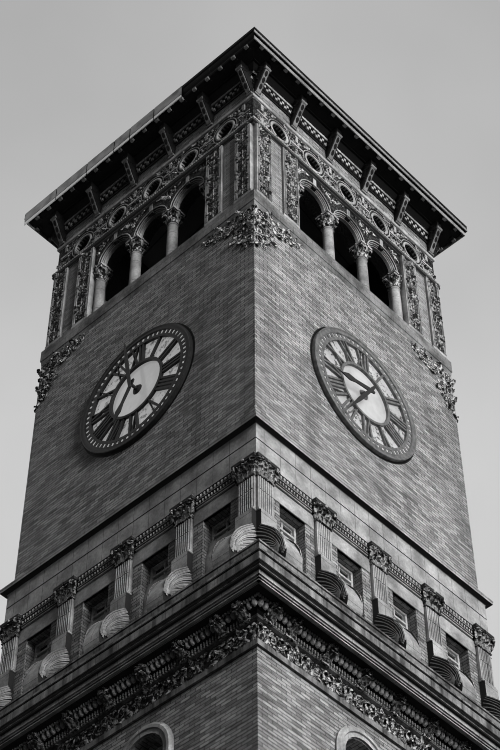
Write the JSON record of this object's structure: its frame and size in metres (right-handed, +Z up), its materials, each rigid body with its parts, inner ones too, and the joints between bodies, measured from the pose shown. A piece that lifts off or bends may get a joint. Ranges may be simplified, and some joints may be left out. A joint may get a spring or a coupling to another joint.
{
  "type": "clock tower",
  "caption": "Square brick clock tower with a bracketed cornice, open arcaded belfry, lit dials on all sides with turning hands, and wide eaves under a low hipped roof.",
  "frame": {"origin": "centre of the foundation's underside, at ground level", "axes": "+Z up the tower's axis, -Y out of the front face, +X to the right seen from the front"},
  "size_m": [7.622, 7.622, 38.74],
  "materials": {
    "brick": "rough fired brick",
    "terracotta": "matt moulded terracotta",
    "stone": "dressed limestone",
    "painted_timber": "painted sash timber",
    "window_glass": "drawn sheet glass",
    "opal_glass": "opal flashed glass",
    "dial_iron": "black painted cast iron",
    "hand_metal": "black enamelled sheet copper",
    "floor_concrete": "trowelled concrete",
    "eaves_copper": "painted sheet metal",
    "roof_copper": "weathered sheet metal"
  },
  "bodies": {
    "tower": {"base_plinth": "stone", "lower_wall_front": "brick", "lower_wall_right": "brick", "lower_wall_back": "brick", "lower_wall_left": "brick", "floor_slabs": "floor_concrete", "main_cornice": "terracotta", "cornice_modillions": "terracotta", "pilaster_storey_wall_front": "brick", "pilaster_storey_wall_right": "brick", "pilaster_storey_wall_back": "brick", "pilaster_storey_wall_left": "brick", "sash_frames": "painted_timber", "window_glass": "window_glass", "window_aprons": "terracotta", "scroll_consoles": "terracotta", "pilasters": "terracotta", "pilaster_capitals": "terracotta", "leaf_bands": "terracotta", "entablature": "stone", "clock_wall_front": "brick", "clock_wall_right": "brick", "clock_wall_back": "brick", "clock_wall_left": "brick", "dial_glass": "opal_glass", "clock_dials": "dial_iron", "corner_reliefs": "terracotta", "belfry_sill": "stone", "belfry_piers": "terracotta", "belfry_columns": "stone", "belfry_capitals": "terracotta", "upper_wall_front": "brick", "upper_wall_right": "brick", "upper_wall_back": "brick", "upper_wall_left": "brick", "upper_mouldings": "terracotta", "eave_brackets": "terracotta", "eaves": "eaves_copper", "roof": "roof_copper"},
    "minute_hand_front": {"minute_hand_front": "hand_metal"},
    "hour_hand_front": {"hour_hand_front": "hand_metal"},
    "minute_hand_right": {"minute_hand_right": "hand_metal"},
    "hour_hand_right": {"hour_hand_right": "hand_metal"},
    "minute_hand_back": {"minute_hand_back": "hand_metal"},
    "hour_hand_back": {"hour_hand_back": "hand_metal"},
    "minute_hand_left": {"minute_hand_left": "hand_metal"},
    "hour_hand_left": {"hour_hand_left": "hand_metal"}
  },
  "joints": [
    {"name": "minute_turn_front", "type": "hinge", "parent": "tower", "child": "minute_hand_front", "pos_m": [0, -3.05, 29.04], "axis": [0, 1, 0], "continuous": true},
    {"name": "hour_turn_front", "type": "hinge", "parent": "tower", "child": "hour_hand_front", "pos_m": [0, -3.05, 29.04], "axis": [0, 1, 0], "continuous": true},
    {"name": "minute_turn_right", "type": "hinge", "parent": "tower", "child": "minute_hand_right", "pos_m": [3.05, 0, 29.04], "axis": [-1, 0, 0], "continuous": true},
    {"name": "hour_turn_right", "type": "hinge", "parent": "tower", "child": "hour_hand_right", "pos_m": [3.05, 0, 29.04], "axis": [-1, 0, 0], "continuous": true},
    {"name": "minute_turn_back", "type": "hinge", "parent": "tower", "child": "minute_hand_back", "pos_m": [0, 3.05, 29.04], "axis": [0, -1, 0], "continuous": true},
    {"name": "hour_turn_back", "type": "hinge", "parent": "tower", "child": "hour_hand_back", "pos_m": [0, 3.05, 29.04], "axis": [0, -1, 0], "continuous": true},
    {"name": "minute_turn_left", "type": "hinge", "parent": "tower", "child": "minute_hand_left", "pos_m": [-3.05, 0, 29.04], "axis": [1, 0, 0], "continuous": true},
    {"name": "hour_turn_left", "type": "hinge", "parent": "tower", "child": "hour_hand_left", "pos_m": [-3.05, 0, 29.04], "axis": [1, 0, 0], "continuous": true}
  ],
  "couplings": [
    {"joint": "hour_turn_front", "follows": "minute_turn_front", "ratio": 0.083333},
    {"joint": "minute_turn_right", "follows": "minute_turn_front", "ratio": 1},
    {"joint": "hour_turn_right", "follows": "minute_turn_front", "ratio": 0.083333},
    {"joint": "minute_turn_back", "follows": "minute_turn_front", "ratio": 1},
    {"joint": "hour_turn_back", "follows": "minute_turn_front", "ratio": 0.083333},
    {"joint": "minute_turn_left", "follows": "minute_turn_front", "ratio": 1},
    {"joint": "hour_turn_left", "follows": "minute_turn_front", "ratio": 0.083333}
  ]
}
